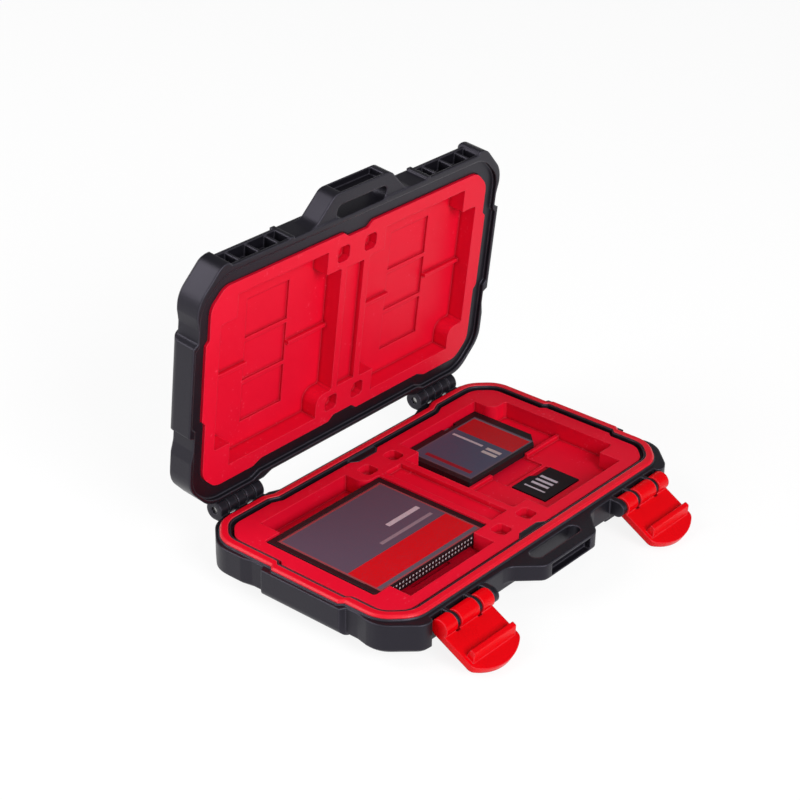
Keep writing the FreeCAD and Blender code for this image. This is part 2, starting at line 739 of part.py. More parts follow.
def make_tray(label, low, high, face, inward):
    """Fitted tray: a block with the shell's inner plan and the card bays cut into its face."""
    block = ring_body(f"{label}_block", ZERO, low, high)
    node(cut(label, block, bay_tools(label, face, inward)), label)


def make_seal():
    """Rim seal: a bead all along the tongue, bevelled on its outer edge."""
    block = ring_body("seal_block", "seal_outer", TONGUE_TOP, SEAL_TOP)
    bevel_edges(block, "seal_bevel", lambda edge: lies_at(edge, SEAL_TOP))
    opening = ring_body("seal_opening", "seal_inner", TONGUE_TOP, SEAL_TOP)
    node(cut("rim_seal", block, [opening]), "rim_seal")


def make_hinge_pins():
    """Steel pin of each lid hinge."""
    span = both_sides(f"{HINGE_INNER} + pin_recess", f"{HINGE_OUTER} - pin_recess")
    for label, ends in zip(("hinge_pin_right", "hinge_pin_left"), span):
        node(rod(label, "pin_radius", ends, "hinge_y", HINGE_Z), label)


def make_latch(label, sign, open_angle):
    """Latch in its own frame, pivot at the origin and plate upright, then swung open on its pin."""
    half = "latch_width / 2"
    plate_y = ("-barrel_radius", "-(barrel_radius - plate_thickness)")
    blank = box(f"{label}_blank", (f"-{half}", half), plate_y, (ZERO, "plate_reach + lip_rise"))
    lip = doc.addObject("Part::Cylinder", f"{label}_lip")
    lip.Placement.Rotation = FreeCAD.Rotation(FreeCAD.Vector(1, 0, 0), -90)
    lip_radius = "(latch_width ^ 2 / 4 + lip_rise ^ 2) / (2 * lip_rise)"
    bind(lip, Radius=lip_radius, Height="plate_thickness", Placement__Base__y="-barrel_radius")
    bind(lip, Placement__Base__z=f"plate_reach + lip_rise - {lip_radius}")
    arched = doc.addObject("Part::Common", f"{label}_arched")
    arched.Base = blank
    arched.Tool = lip
    doc.recompute()
    plate = dress_solid(f"{label}_plate", "Fillet", arched, "tip_round",
                        lambda edge: lies_at(edge, "plate_reach"))
    bar_y = ("-(barrel_radius - plate_thickness)", "bar_height + plate_thickness - barrel_radius")
    bar = start_body(f"{label}_bar", [
        (bar_y[0], "bar_start"), (bar_y[1], "bar_start"), (bar_y[1], "(bar_start + bar_end) / 2"),
        (bar_y[0], "bar_end")], f"-({half} - bar_inset)", f"{half} - bar_inset", "YZ_Plane")
    bar_top = value(f"{bar_y[1]} - tolerance")
    round_edges(bar, "bar_round", lambda edge: edge.CenterOfMass.y > bar_top
                and edge.BoundBox.XLength > value("bar_height"))
    barrel = rod(f"{label}_barrel", "barrel_radius", (f"-{half}", half), ZERO, ZERO)
    solid = fuse(f"{label}_solid", [plate, bar, barrel])
    tools = [rod(f"{label}_bore", "latch_pin_radius + pin_run", ("-lug_spread", "lug_spread"), ZERO, ZERO)]
    for index, span in enumerate(lug_spans("lug_side_gap")):
        tools.append(rod(f"{label}_slot{index}", "barrel_radius + lug_tip_gap", span, ZERO, ZERO))
    latch = cut(label, solid, tools)
    latch.Placement = FreeCAD.Placement(
        FreeCAD.Vector(value(f"{sign}{LATCH_X}"), value("-pivot_y"), value(PIVOT_Z)),
        FreeCAD.Rotation(FreeCAD.Vector(1, 0, 0), value(open_angle)))
    node(latch, label)


def make_latch_pins():
    """Pins that the latches turn on, held in the base's lugs and kept there by the latch's end knuckles."""
    ends = (f"{LATCH_X} - lug_spread - lug_width / 2", f"{LATCH_X} + lug_spread + lug_width / 2")
    for label, span in zip(("latch_pin_right", "latch_pin_left"), both_sides(*ends)):
        node(rod(label, "latch_pin_radius", span, "-pivot_y", PIVOT_Z), label)


def make_cf_card():
    """Compact flash card on the rest ribs of the left bay, socket to the front."""
    bottom = f"{TRAY_TOP} - bay_depth + rest_rib_height"
    top = f"{bottom} + cf_thickness"
    x_middle = "-bay_x + cf_shift"
    x_span = (f"{x_middle} - cf_length / 2", f"{x_middle} + cf_length / 2")
    y_span = ("-bay_y - cf_width / 2", "-bay_y + cf_width / 2")
    inner_x = (f"{x_span[0]} + cf_border", f"{x_span[1]} - cf_border")
    inner_y = (f"{y_span[0]} + cf_front_rail", f"{y_span[1]} - cf_border")
    socket_x = (f"{x_middle} - cf_socket_half", f"{x_middle} + cf_socket_half")
    socket_y = (y_span[0], f"{y_span[0]} + cf_socket_depth")
    middle = f"{bottom} + cf_thickness / 2"
    socket_z = (f"{middle} - cf_socket_height / 2", f"{middle} + cf_socket_height / 2")
    label_x = (f"{x_span[0]} + cf_label_side", f"{x_span[1]} - cf_label_side")
    label_y = (f"{y_span[0]} + cf_label_front", f"{y_span[1]} - cf_label_back")
    label_z = (f"{top} - label_thickness", top)
    frame = box("cf_frame_block", x_span, y_span, (bottom, top))
    node(cut("cf_card_frame", frame, [
        box("cf_frame_window", inner_x, inner_y, (bottom, top)),
        box("cf_frame_socket", socket_x, socket_y, socket_z),
        box("cf_frame_label", label_x, label_y, label_z),
    ]), "cf_card_frame")
    covers = (("bottom", (bottom, f"{bottom} + cf_cover")), ("top", (f"{label_z[0]} - cf_cover", label_z[0])))
    for side, cover_z in covers:
        node(box(f"cf_card_{side}_cover", inner_x, inner_y, cover_z), f"cf_card_{side}_cover")
    node(box("cf_card_label", label_x, label_y, label_z), "cf_card_label")
    holes = []
    for line in range(CF_HOLE_ROWS):
        level = f"{middle} + {line - (CF_HOLE_ROWS - 1) / 2} * cf_hole_pitch - cf_hole / 2"
        for index in range(CF_HOLES_PER_ROW):
            start = f"{x_middle} + {index - CF_HOLES_PER_ROW // 2} * cf_hole_pitch - cf_hole / 2"
            holes.append(box(f"cf_hole_{line}_{index}", (start, f"{start} + cf_hole"),
                             (y_span[0], f"{y_span[0]} + cf_hole_depth"), (level, f"{level} + cf_hole")))
    socket = box("cf_socket_block", socket_x, socket_y, socket_z)
    node(cut("cf_card_socket", socket, holes), "cf_card_socket")


def make_sd_card():
    """Secure digital card in the back half of the right bay, cut corner to the front right."""
    bottom = f"{TRAY_TOP} - bay_depth"
    top = f"{bottom} + sd_thickness"
    left = "bay_x - sd_length / 2"
    right = "bay_x + sd_length / 2"
    front = "-bay_y + rest_rib_width / 2 + sd_gap"
    back = f"{front} + sd_width"
    body = start_body("sd_case_block", [
        (left, front), (f"{right} - sd_corner", front), (right, f"{front} + sd_corner"),
        (right, back), (left, back),
    ], bottom, top)
    round_edges(body, "sd_round", lambda edge: is_upright(edge) and edge.CenterOfMass.x < value("bay_x"))
    label_x = (f"{left} + sd_label_left", f"{right} - sd_label_right")
    label_y = (f"{front} + sd_label_side", f"{back} - sd_label_side - sd_lock_depth")
    label_z = (f"{top} - label_thickness", top)
    lock_x = (f"{left} + sd_lock_start", f"{left} + sd_lock_start + sd_lock_slot")
    lock_y = (f"{back} - sd_lock_depth", back)
    lock_z = (f"{bottom} + sd_thickness / 4", f"{top} - sd_thickness / 4")
    node(cut("sd_card_case", body, [
        box("sd_case_label", label_x, label_y, label_z),
        box("sd_case_lock", lock_x, lock_y, (bottom, top)),
    ]), "sd_card_case")
    node(box("sd_card_label", label_x, label_y, label_z), "sd_card_label")
    node(box("sd_card_lock", (lock_x[0], f"{lock_x[0]} + sd_lock_length"), lock_y, lock_z), "sd_card_lock")


def make_micro_card():
    """Micro card in the front recess of the right bay, with its contact strip underneath."""
    bottom = f"{TRAY_TOP} - bay_depth - micro_depth"
    left = "bay_x - micro_length / 2"
    right = "bay_x + micro_length / 2"
    front = "-bay_y - micro_pitch - micro_width / 2"
    back = f"{front} + micro_width"
    shoulder = f"{front} + micro_tail"
    block = start_body("micro_block", [
        (left, front), (right, front), (right, shoulder), ("bay_x + micro_notch", shoulder),
        ("bay_x", back), (left, back),
    ], bottom, f"{bottom} + micro_thickness")
    strip_x = (f"{right} - micro_notch - micro_contact_length", f"{right} - micro_notch")
    strip_y = (f"{front} + micro_notch", f"{shoulder} - micro_notch")
    strip_z = (bottom, f"{bottom} + micro_contact_sink")
    recess = box("micro_case_recess", strip_x, strip_y, strip_z)
    node(cut("micro_card_case", block, [recess]), "micro_card_case")
    node(box("micro_card_contacts", strip_x, strip_y, strip_z), "micro_card_contacts")


make_base_shell()
make_lid_shell()
make_tray("base_tray", FLOOR, TRAY_TOP, TRAY_TOP, "-")
make_tray("lid_insert", INSERT_FACE, LID_ROOF, INSERT_FACE, "+")
make_seal()
make_hinge_pins()
for side, sign in (("right", ""), ("left", "-")):
    make_latch(f"latch_{side}", sign, f"latch_open_{side}")
make_latch_pins()
make_cf_card()
make_sd_card()
make_micro_card()

# The lid stands open, swung back about the hinge line
hinge_line = FreeCAD.Vector(0, value("hinge_y"), value(HINGE_Z))
lid_pose = FreeCAD.Placement(
    FreeCAD.Vector(0, 0, 0), FreeCAD.Rotation(FreeCAD.Vector(1, 0, 0), -value("lid_open")), hinge_line)
for item in nodes:
    if item.Label in ("lid_shell", "lid_insert"):
        item.Placement = lid_pose
doc.recompute()

broken = [item.Name for item in doc.Objects if "Invalid" in item.State or "Error" in item.State]
if broken:
    raise RuntimeError(f"did not build: {broken}")
os.makedirs("parts", exist_ok=True)
for item in nodes:
    if item.Shape.isNull() or not item.Shape.isValid():
        raise RuntimeError(f"{item.Label} has no valid shape")
for item in nodes:
    item.Shape.exportStep(f"parts/{item.Label}.step")
    print(item.Label, len(item.Shape.Solids), round(item.Shape.Volume, 2), item.Shape.BoundBox)
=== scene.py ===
"""Looks of a memory card case: black shells, red trays, seal and latches, and three cards."""
import math

import bpy
from mathutils import Matrix, Vector


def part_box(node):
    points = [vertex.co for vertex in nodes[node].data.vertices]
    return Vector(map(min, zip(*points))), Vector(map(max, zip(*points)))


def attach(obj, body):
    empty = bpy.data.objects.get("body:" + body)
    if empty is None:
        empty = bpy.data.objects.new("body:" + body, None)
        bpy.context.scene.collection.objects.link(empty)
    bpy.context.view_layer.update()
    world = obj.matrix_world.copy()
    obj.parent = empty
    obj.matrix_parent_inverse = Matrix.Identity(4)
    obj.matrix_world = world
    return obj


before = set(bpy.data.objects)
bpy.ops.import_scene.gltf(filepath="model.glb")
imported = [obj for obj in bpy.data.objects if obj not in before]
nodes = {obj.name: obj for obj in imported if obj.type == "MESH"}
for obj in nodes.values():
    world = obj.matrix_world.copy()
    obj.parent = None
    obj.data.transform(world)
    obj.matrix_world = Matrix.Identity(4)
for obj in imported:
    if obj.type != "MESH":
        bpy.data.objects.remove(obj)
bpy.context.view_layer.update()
MM = 0.001
WHITE = "#ffffff"

# Camera of the photograph: angles in degrees, lengths in millimetres
VIEW_AZIMUTH = -50.06
VIEW_ELEVATION = 28.36
VIEW_ROLL = 0.915
VIEW_AIM = (20.0, 31.9, 20.24)
VIEW_DISTANCE = 580.0
VIEW_LENS = 94.8
VIEW_SENSOR = 36.0
VIEW_NEAREST = 10.0

# Soft boxes: name, place and size in metres, watts; the point they face; the surroundings' level
SOFT_BOXES = (
    ("left_box", (-0.6, 0.5, 0.62), 0.7, 6.4),
    ("front_box", (-0.3, -0.98, 0.6), 0.6, 12.6),
    ("top_box", (0.1, -0.2, 1.0), 0.7, 0.8),
)
LIGHT_AIM = (0.0, 0.0, 0.03)
SURROUND_LEVEL = 0.18

# Studio floor: radius and height of its rings in metres, steps round it, paper and own white
FLOOR_PROFILE = ((2.5, 0.0), (2.75, 0.06), (2.92, 0.2), (3.0, 0.42), (3.02, 0.66))
FLOOR_STEPS = 48
FLOOR_PAPER = "#f4f4f4"
FLOOR_GLOW = 1.03
FLOOR_GLOW_SHARE = 0.85

# Print on the large card (cf_card), the middle one (sd_card) and the small one (micro_card), in
# millimetres; a bar, in the place of a line of print, is its spans along X and Y from a low corner
LABEL_LINE = 0.5
LARGE_STRIP_WIDTH = 1.3
LARGE_BAND_WIDTH = 9.4
LARGE_BOLD_BAR = ((24.0, 36.2), (17.8, 19.3))
LARGE_FINE_BAR = ((16.3, 36.2), (13.5, 14.6))
MIDDLE_STRIP_WIDTH = 0.9
MIDDLE_BAND_WIDTH = 8.0
MIDDLE_FINE_BAR = ((15.6, 16.5), (8.8, 19.2))
MIDDLE_BOLD_BARS = (((13.2, 14.4), (2.2, 7.2)), ((15.2, 16.4), (2.2, 7.2)))
MIDDLE_END_BAR = ((2.0, 3.4), (2.0, 17.8))
SMALL_BARS = (
    ((3.0, 3.6), (2.6, 9.4)),
    ((5.2, 6.2), (3.2, 8.8)),
    ((7.2, 8.2), (3.2, 8.8)),
    ((9.2, 10.2), (3.2, 8.8)),
)

# Printed film: grain, relief and depth of print in millimetres, and how the grain thins the ink
FILM_GRAIN = 0.35
FILM_RELIEF = 0.004
FILM_SPECULAR = 0.22
PRINT_DEPTH = 0.05
INK_GRAIN = (0.3, 0.5)
INK_LEAST_COVER = 0.75

# Colours and sheens that more than one finish has
CARD_BLACK = ("#100e12", "#151318")
CARD_SHEEN = (0.4, 0.5)
LABEL_GREY = "#57505c"
LABEL_SHEEN = (0.32, 0.44)

# Socket of the large card, in millimetres
CONTACT_COUNT = 25
CONTACT_ROWS = 2
CONTACT_PITCH = 1.27
CONTACT_WIDTH = 0.5
CONTACT_DEPTH = 1.2
CONTACT_SINK = 0.02

# Cloudy tint of moulded pieces: size in millimetres, and noise levels that change the sheen
CLOUD_SIZE = 14.0
CLOUD_DETAIL = 4.0
CLOUD_RANGE = (0.3, 0.7)
GRAIN_DETAIL = 2.0

# Rubbed edges, partly wear and partly painted highlight: cosines of the turn where the paler colour
# starts and is full, and its share
WEAR_AND_HIGHLIGHT_TURN = (0.98, 0.8)
WEAR_AND_HIGHLIGHT_SHARE = 0.9

# Specks: noise levels of their rims and of their patches, size of a patch in millimetres, share
SPECK_RIM = (0.74, 0.8)
SPECK_PATCH = (0.5, 0.6)
SPECK_SPREAD = 11.0
SPECK_SHARE = 0.4

# Painted shade in inner corners: open sky where the painted shade starts and is full, reach in
# millimetres, share
CORNER_SHADE_SKY = (1.0, 0.5)
CORNER_SHADE_REACH = 1.2
CORNER_SHADE_SHARE = 0.65

# Draw lines of metal: length over width, and detail
DRAW_STRETCH = 50.0
DRAW_DETAIL = 3.0

# Rays that feel out edges and corners, and the colour sockets of a Mix node
FEELER_RAYS = 8
MIX_FIRST = 6
MIX_SECOND = 7
MIX_RESULT = 2


def linear(code):
    """Linear RGBA of an sRGB hex colour."""
    shares = [int(code[start:start + 2], 16) / 255 for start in (1, 3, 5)]
    levels = [share / 12.92 if share <= 0.04045 else ((share + 0.055) / 1.055) ** 2.4
              for share in shares]
    return (*levels, 1.0)


def add(tree, kind, inputs=None, **settings):
    """Add a node with its settings, and fill its inputs with values or links from outputs."""
    node = tree.nodes.new(kind)
    for name, setting in settings.items():
        setattr(node, name, setting)
    for socket, source in (inputs or {}).items():
        if isinstance(source, bpy.types.NodeSocket):
            tree.links.new(source, node.inputs[socket])
        else:
            node.inputs[socket].default_value = source
    return node


def bare_tree(owner):
    """Empty node tree of a material or world."""
    owner.use_nodes = True
    owner.node_tree.nodes.clear()
    return owner.node_tree


def set_surface(tree, sockets):
    """Close a material's tree with its surface shader."""
    shader = add(tree, "ShaderNodeBsdfPrincipled", sockets)
    add(tree, "ShaderNodeOutputMaterial", {"Surface": shader.outputs["BSDF"]})


def paint_corner_shade(tree, colour, corner_shade):
    """Paint shade into the inner corners of a piece by blending to a darker colour."""
    sky = add(tree, "ShaderNodeAmbientOcclusion", {
        "Distance": CORNER_SHADE_REACH * MM}, samples=FEELER_RAYS, only_local=True)
    painted_shade = add(tree, "ShaderNodeMapRange", {
        "Value": sky.outputs["AO"], "From Min": CORNER_SHADE_SKY[0], "From Max": CORNER_SHADE_SKY[1],
        "To Max": CORNER_SHADE_SHARE})
    return add(tree, "ShaderNodeMix", {
        "Factor": painted_shade.outputs["Result"], MIX_FIRST: colour, MIX_SECOND: linear(corner_shade),
    }, data_type="RGBA").outputs[MIX_RESULT]


def rub_edges_and_paint_highlight(tree, colour, rounded, cloud, wear_and_highlight):
    """Blend to the paler colour of wear and painted highlight, unevenly, where the rounded surface
    leaves the flat one.
    """
    flat = add(tree, "ShaderNodeNewGeometry").outputs["Normal"]
    turn = add(tree, "ShaderNodeVectorMath", {0: rounded, 1: flat}, operation="DOT_PRODUCT")
    rubbed_and_highlit = add(tree, "ShaderNodeMapRange", {
        "Value": turn.outputs["Value"], "From Min": WEAR_AND_HIGHLIGHT_TURN[0], "From Max": WEAR_AND_HIGHLIGHT_TURN[1],
        "To Max": WEAR_AND_HIGHLIGHT_SHARE})
    patchy = add(tree, "ShaderNodeMath", {
        0: rubbed_and_highlit.outputs["Result"], 1: cloud}, operation="MULTIPLY")
    return add(tree, "ShaderNodeMix", {
        "Factor": patchy.outputs[0], MIX_FIRST: colour, MIX_SECOND: linear(wear_and_highlight),
    }, data_type="RGBA").outputs[MIX_RESULT]


def scatter_specks(tree, colour, place, size, wear_and_highlight):
    """Small specks of the worn colour, in loose patches."""
    dots = add(tree, "ShaderNodeTexNoise", {
        "Vector": place, "Scale": 1 / (size * MM), "Detail": 0.0})
    small = add(tree, "ShaderNodeMapRange", {
        "Value": dots.outputs["Fac"], "From Min": SPECK_RIM[0], "From Max": SPECK_RIM[1],
        "To Max": SPECK_SHARE})
    spread = add(tree, "ShaderNodeTexNoise", {
        "Vector": place, "Scale": 1 / (SPECK_SPREAD * MM), "Detail": 0.0})
    sparse = add(tree, "ShaderNodeMapRange", {
        "Value": spread.outputs["Fac"], "From Min": SPECK_PATCH[0], "From Max": SPECK_PATCH[1]})
    marks = add(tree, "ShaderNodeMath", {
        0: small.outputs["Result"], 1: sparse.outputs["Result"]}, operation="MULTIPLY")
    return add(tree, "ShaderNodeMix", {
        "Factor": marks.outputs[0], MIX_FIRST: colour, MIX_SECOND: linear(wear_and_highlight),
    }, data_type="RGBA").outputs[MIX_RESULT]


def moulded(name, colours, wear_and_highlight, roughness, grain, relief, edge, specular,
            tint=WHITE, corner_shade="", speck=0.0):
    """Moulded plastic or rubber: cloudy colour, fine grain, rubbed edges that are partly a painted
    highlight; lengths in millimetres.
    """
    material = bpy.data.materials.new(name)
    tree = bare_tree(material)
    place = add(tree, "ShaderNodeTexCoord").outputs["Object"]
    cloud = add(tree, "ShaderNodeTexNoise", {
        "Vector": place, "Scale": 1 / (CLOUD_SIZE * MM), "Detail": CLOUD_DETAIL}).outputs["Fac"]
    fine = add(tree, "ShaderNodeTexNoise", {
        "Vector": place, "Scale": 1 / (grain * MM), "Detail": GRAIN_DETAIL})
    rounded = add(tree, "ShaderNodeBevel", {
        "Radius": edge * MM}, samples=FEELER_RAYS).outputs["Normal"]
    colour = add(tree, "ShaderNodeMix", {
        "Factor": cloud, MIX_FIRST: linear(colours[0]), MIX_SECOND: linear(colours[1]),
    }, data_type="RGBA").outputs[MIX_RESULT]
    # Painted shade: darker colour in the inner corners, where its colour is given
    if corner_shade:
        colour = paint_corner_shade(tree, colour, corner_shade)
    # Paler edges: partly wear, partly a painted highlight
    colour = rub_edges_and_paint_highlight(tree, colour, rounded, cloud, wear_and_highlight)
    if speck:
        colour = scatter_specks(tree, colour, place, speck, wear_and_highlight)
    sheen = add(tree, "ShaderNodeMapRange", {
        "Value": cloud, "From Min": CLOUD_RANGE[0], "From Max": CLOUD_RANGE[1],
        "To Min": roughness[0], "To Max": roughness[1]})
    bump = add(tree, "ShaderNodeBump", {
        "Height": fine.outputs["Fac"], "Distance": relief * MM, "Normal": rounded})
    set_surface(tree, {
        "Base Color": colour, "Roughness": sheen.outputs["Result"],
        "Normal": bump.outputs["Normal"], "Specular IOR Level": specular,
        "Specular Tint": linear(tint)})
    return material


def drawn_metal(name, colours, roughness, line, relief, axis):
    """Bare metal with fine draw lines along one axis; lengths in millimetres."""
    material = bpy.data.materials.new(name)
    tree = bare_tree(material)
    place = add(tree, "ShaderNodeTexCoord").outputs["Object"]
    scale = [1 / (line * MM)] * 3
    scale[axis] /= DRAW_STRETCH
    stretched = add(tree, "ShaderNodeMapping", {"Vector": place, "Scale": scale})
    lines = add(tree, "ShaderNodeTexNoise", {
        "Vector": stretched.outputs["Vector"], "Scale": 1.0, "Detail": DRAW_DETAIL}).outputs["Fac"]
    streaks = add(tree, "ShaderNodeMix", {
        "Factor": lines, MIX_FIRST: linear(colours[0]), MIX_SECOND: linear(colours[1]),
    }, data_type="RGBA")
    sheen = add(tree, "ShaderNodeMapRange", {
        "Value": lines, "To Min": roughness[0], "To Max": roughness[1]})
    bump = add(tree, "ShaderNodeBump", {"Height": lines, "Distance": relief * MM})
    set_surface(tree, {
        "Base Color": streaks.outputs[MIX_RESULT], "Roughness": sheen.outputs["Result"],
        "Normal": bump.outputs["Normal"], "Metallic": 1.0})
    return material


def rectangle_mask(tree, axes, corner, spans):
    """1 inside a rectangle and 0 elsewhere; its spans in X and Y are millimetres from a corner."""
    mask = 1.0
    for axis, start, span in zip("XY", corner, spans):
        for reach, side in zip(span, ("GREATER_THAN", "LESS_THAN")):
            within = add(tree, "ShaderNodeMath", {
                0: axes[axis], 1: start + reach * MM}, operation=side)
            mask = add(tree, "ShaderNodeMath", {
                0: mask, 1: within.outputs[0]}, operation="MULTIPLY").outputs[0]
    return mask


def printed_film(name, node, paper, layers, sheen, line=""):
    """Printed face of a card: ground colour, inked rectangles on top, a line round it if given."""
    low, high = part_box(node)
    material = bpy.data.materials.new(name)
    tree = bare_tree(material)
    place = add(tree, "ShaderNodeTexCoord").outputs["Object"]
    axes = add(tree, "ShaderNodeSeparateXYZ", {"Vector": place}).outputs
    grain = add(tree, "ShaderNodeTexNoise", {
        "Vector": place, "Scale": 1 / (FILM_GRAIN * MM), "Detail": GRAIN_DETAIL}).outputs["Fac"]
    colour = add(tree, "ShaderNodeMix", {
        "Factor": grain, MIX_FIRST: linear(paper[0]), MIX_SECOND: linear(paper[1]),
    }, data_type="RGBA").outputs[MIX_RESULT]
    on_top = add(tree, "ShaderNodeMath", {
        0: axes["Z"], 1: high.z - PRINT_DEPTH * MM}, operation="GREATER_THAN")
    cover = add(tree, "ShaderNodeMapRange", {
        "Value": grain, "From Min": INK_GRAIN[0], "From Max": INK_GRAIN[1],
        "To Min": INK_LEAST_COVER})
    inked = add(tree, "ShaderNodeMath", {
        0: on_top.outputs[0], 1: cover.outputs["Result"]}, operation="MULTIPLY")
    for spans, ink in layers:
        inside = rectangle_mask(tree, axes, low, spans)
        share = add(tree, "ShaderNodeMath", {
            0: inside, 1: inked.outputs[0]}, operation="MULTIPLY")
        colour = add(tree, "ShaderNodeMix", {
            "Factor": share.outputs[0], MIX_FIRST: colour, MIX_SECOND: linear(ink),
        }, data_type="RGBA").outputs[MIX_RESULT]
    if line:
        within_line = [(LABEL_LINE, side / MM - LABEL_LINE) for side in (high - low).xy]
        inside = rectangle_mask(tree, axes, low, within_line)
        colour = add(tree, "ShaderNodeMix", {
            "Factor": inside, MIX_FIRST: linear(line), MIX_SECOND: colour,
        }, data_type="RGBA").outputs[MIX_RESULT]
    gloss = add(tree, "ShaderNodeMapRange", {
        "Value": grain, "To Min": sheen[0], "To Max": sheen[1]})
    bump = add(tree, "ShaderNodeBump", {"Height": grain, "Distance": FILM_RELIEF * MM})
    set_surface(tree, {
        "Base Color": colour, "Roughness": gloss.outputs["Result"],
        "Normal": bump.outputs["Normal"], "Specular IOR Level": FILM_SPECULAR})
    return material


def label_size(node):
    """Length and width of a label in millimetres."""
    low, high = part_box(node)
    return (high - low).xy / MM


# Glass-filled nylon from a spark-eroded mould: near black and satin, with paler rubbed edges that
# are partly a painted highlight; the mould's even grain is drawn coarser than the real one, so that
# it shows
shell_nylon = moulded(
    "nylon_moulded_satin_black", ("#111015", "#16151b"), wear_and_highlight="#4b4952", roughness=(0.34, 0.44),
    grain=0.7, relief=0.022, edge=0.8, specular=0.34, tint="#f0e8ff")
# Soft thermoplastic rubber: an even dull red with painted shade in the inner corners, and a few pale
# specks
tray_rubber = moulded(
    "soft_rubber_moulded_red", ("#d60626", "#de0a2e"), wear_and_highlight="#e84a60", roughness=(0.46, 0.54),
    grain=0.5, relief=0.006, edge=0.25, specular=0.2, corner_shade="#960010", speck=0.7)
# Silicone bead: the same red, smoother, with a soft line of light along it, partly a painted
# highlight in the paler colour of its edges
seal_silicone = moulded(
    "silicone_moulded_red", ("#d60620", "#de0a28"), wear_and_highlight="#ee5c6c", roughness=(0.34, 0.4),
    grain=0.6, relief=0.004, edge=0.6, specular=0.3)
# Acetal from a polished mould: a strong clear red with a soft gloss
latch_acetal = moulded(
    "acetal_moulded_gloss_red", ("#d4000a", "#dc000e"), wear_and_highlight="#ee4454", roughness=(0.24, 0.32),
    grain=0.8, relief=0.003, edge=0.6, specular=0.13)
# Card housings of moulded polycarbonate: matt black with a fine grain
card_plastic = moulded(
    "polycarbonate_moulded_matt_black", CARD_BLACK, wear_and_highlight="#2e2c32", roughness=CARD_SHEEN,
    grain=0.3, relief=0.006, edge=0.15, specular=0.35)
# Lock slider of a card, in the same plastic: matt grey
lock_plastic = moulded(
    "polycarbonate_moulded_grey", ("#6c6b70", "#78777c"), wear_and_highlight="#9a999e", roughness=(0.4, 0.48),
    grain=0.3, relief=0.006, edge=0.1, specular=0.35)
# Polyester ends of the socket's contacts: matt light grey
socket_plastic = moulded(
    "polyester_moulded_pale_grey", ("#a9a9ae", "#b6b6ba"), wear_and_highlight="#c4c4c8", roughness=(0.5, 0.6),
    grain=0.2, relief=0.003, edge=0.05, specular=0.4)
# Bright steel pins drawn through a die: fine bright lines along them
pin_steel = drawn_metal(
    "steel_drawn_bright", ("#9c9b9a", "#b4b3b2"), roughness=(0.22, 0.38),
    line=0.12, relief=0.004, axis=0)
# Covers pressed from aluminium sheet: pale and dull, with rolling lines
cover_sheet = drawn_metal(
    "aluminium_sheet_pressed", ("#a09fa1", "#b0afb1"), roughness=(0.3, 0.45),
    line=0.2, relief=0.003, axis=1)
# Gold-plated contacts: warm and bright
contact_gold = drawn_metal(
    "contacts_gold_plated", ("#d0a856", "#e0bc66"), roughness=(0.2, 0.32),
    line=0.15, relief=0.002, axis=0)

# Printed film on the large card: dull violet-grey with a red band and pale bars
large_length = label_size("cf_card_label").x
large_strip = LABEL_LINE + LARGE_STRIP_WIDTH
large_film = printed_film("label_film_printed_wide_band", "cf_card_label", ("#4d4555", "#544b5b"), [
    (((0, large_length), (0, large_strip)), LABEL_GREY),
    (((0, large_length), (large_strip, large_strip + LARGE_BAND_WIDTH)), "#c40a14"),
    (LARGE_BOLD_BAR, "#b5a8b0"),
    (LARGE_FINE_BAR, "#85757f"),
], sheen=LABEL_SHEEN, line="#8f4046")
# Printed film on the middle card: blue-grey with a red band at one end, pale bars and a dark red one
middle_length, middle_width = label_size("sd_card_label")
middle_strip = middle_length - MIDDLE_STRIP_WIDTH
middle_film = printed_film("label_film_printed_end_band", "sd_card_label", ("#42475c", "#494e62"), [
    (((middle_strip, middle_length), (0, middle_width)), "#6a6470"),
    (((middle_strip - MIDDLE_BAND_WIDTH, middle_strip), (0, middle_width)), "#b01018"),
    (MIDDLE_FINE_BAR, "#b0a8ae"),
    *((spans, "#b0aaa8") for spans in MIDDLE_BOLD_BARS),
    (MIDDLE_END_BAR, "#8a1622"),
], sheen=LABEL_SHEEN, line=LABEL_GREY)
# Small card, printed straight on its black polycarbonate case: matt black with pale bars
small_print = printed_film("polycarbonate_printed_matt_black", "micro_card_case", CARD_BLACK, [
    (spans, "#b4afba") for spans in SMALL_BARS], sheen=CARD_SHEEN)

finishes = {
    "base_shell": shell_nylon,
    "lid_shell": shell_nylon,
    "base_tray": tray_rubber,
    "lid_insert": tray_rubber,
    "rim_seal": seal_silicone,
    "hinge_pin_right": pin_steel,
    "hinge_pin_left": pin_steel,
    "latch_right": latch_acetal,
    "latch_left": latch_acetal,
    "latch_pin_right": latch_acetal,
    "latch_pin_left": latch_acetal,
    "cf_card_frame": card_plastic,
    "cf_card_socket": card_plastic,
    "cf_card_label": large_film,
    "cf_card_bottom_cover": cover_sheet,
    "cf_card_top_cover": cover_sheet,
    "sd_card_case": card_plastic,
    "sd_card_label": middle_film,
    "sd_card_lock": lock_plastic,
    "micro_card_case": small_print,
    "micro_card_contacts": contact_gold,
}
for node_name, finish in finishes.items():
    nodes[node_name].data.materials.clear()
    nodes[node_name].data.materials.append(finish)


